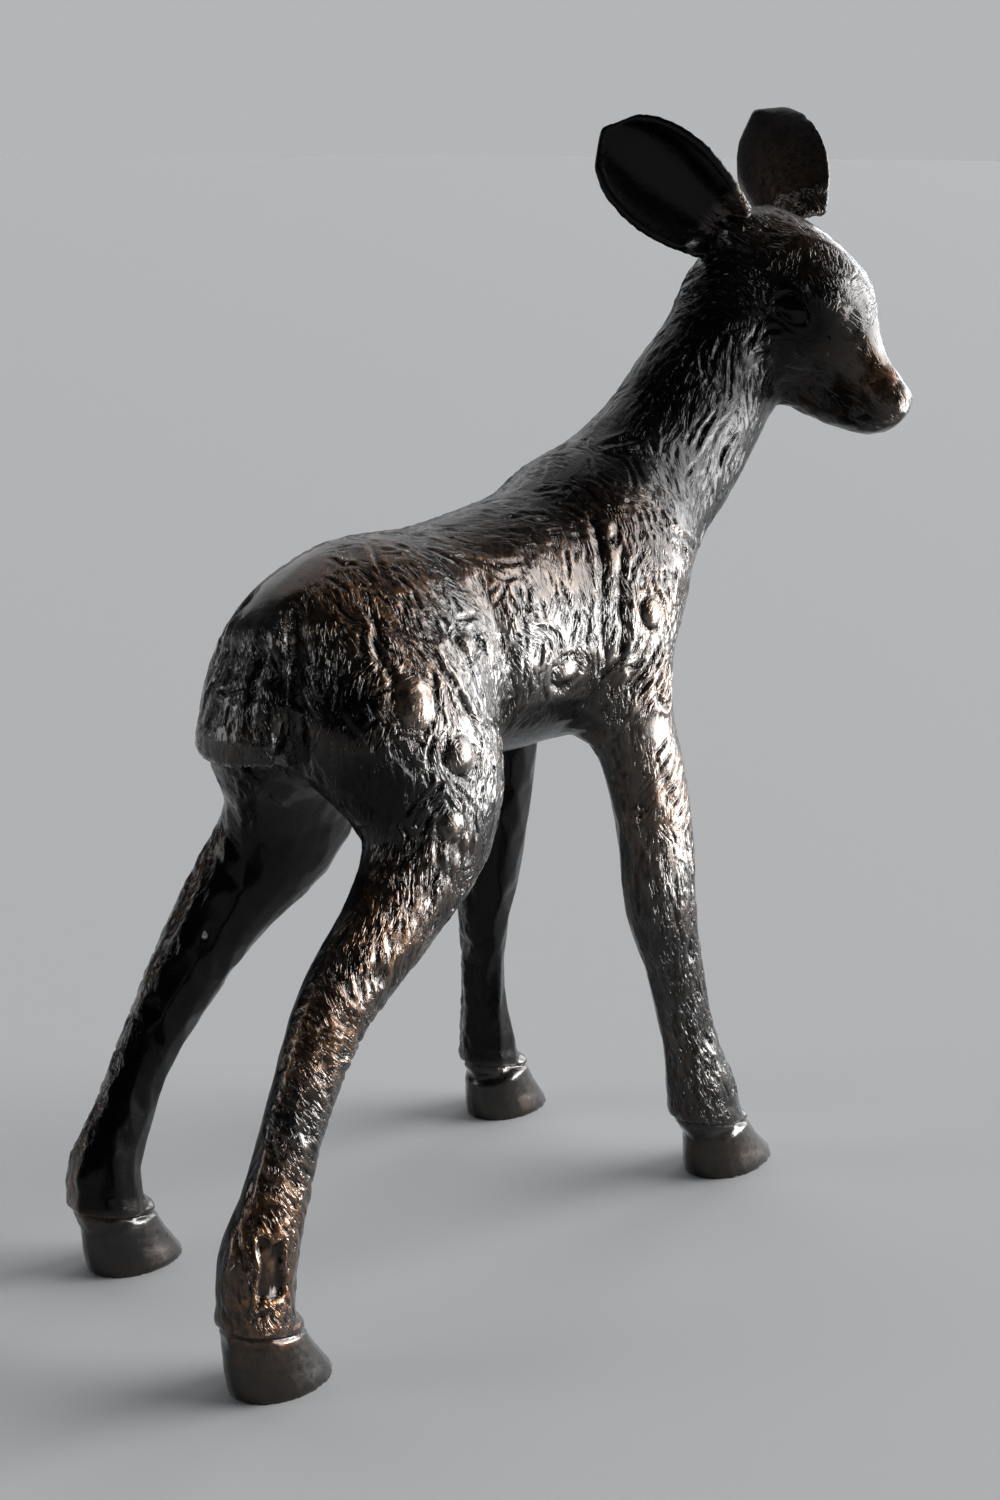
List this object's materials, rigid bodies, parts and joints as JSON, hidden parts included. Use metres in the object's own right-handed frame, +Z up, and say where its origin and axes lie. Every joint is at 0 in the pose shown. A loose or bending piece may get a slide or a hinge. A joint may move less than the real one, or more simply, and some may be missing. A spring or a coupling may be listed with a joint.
{
  "type": "fawn statue",
  "caption": "Life-like standing fawn cast in bronze, legs splayed, head turned to its right and ears raised.",
  "frame": {"origin": "on the ground under the middle of the bounding box", "axes": "+Z up, +X the way the fawn's body points, +Y to the fawn's left"},
  "size_m": [0.5702, 0.2192, 0.6225],
  "materials": {
    "bronze": "near-black and brown patina under clear lacquer"
  },
  "bodies": {
    "root": {"fawn": "bronze"}
  },
  "joints": []
}
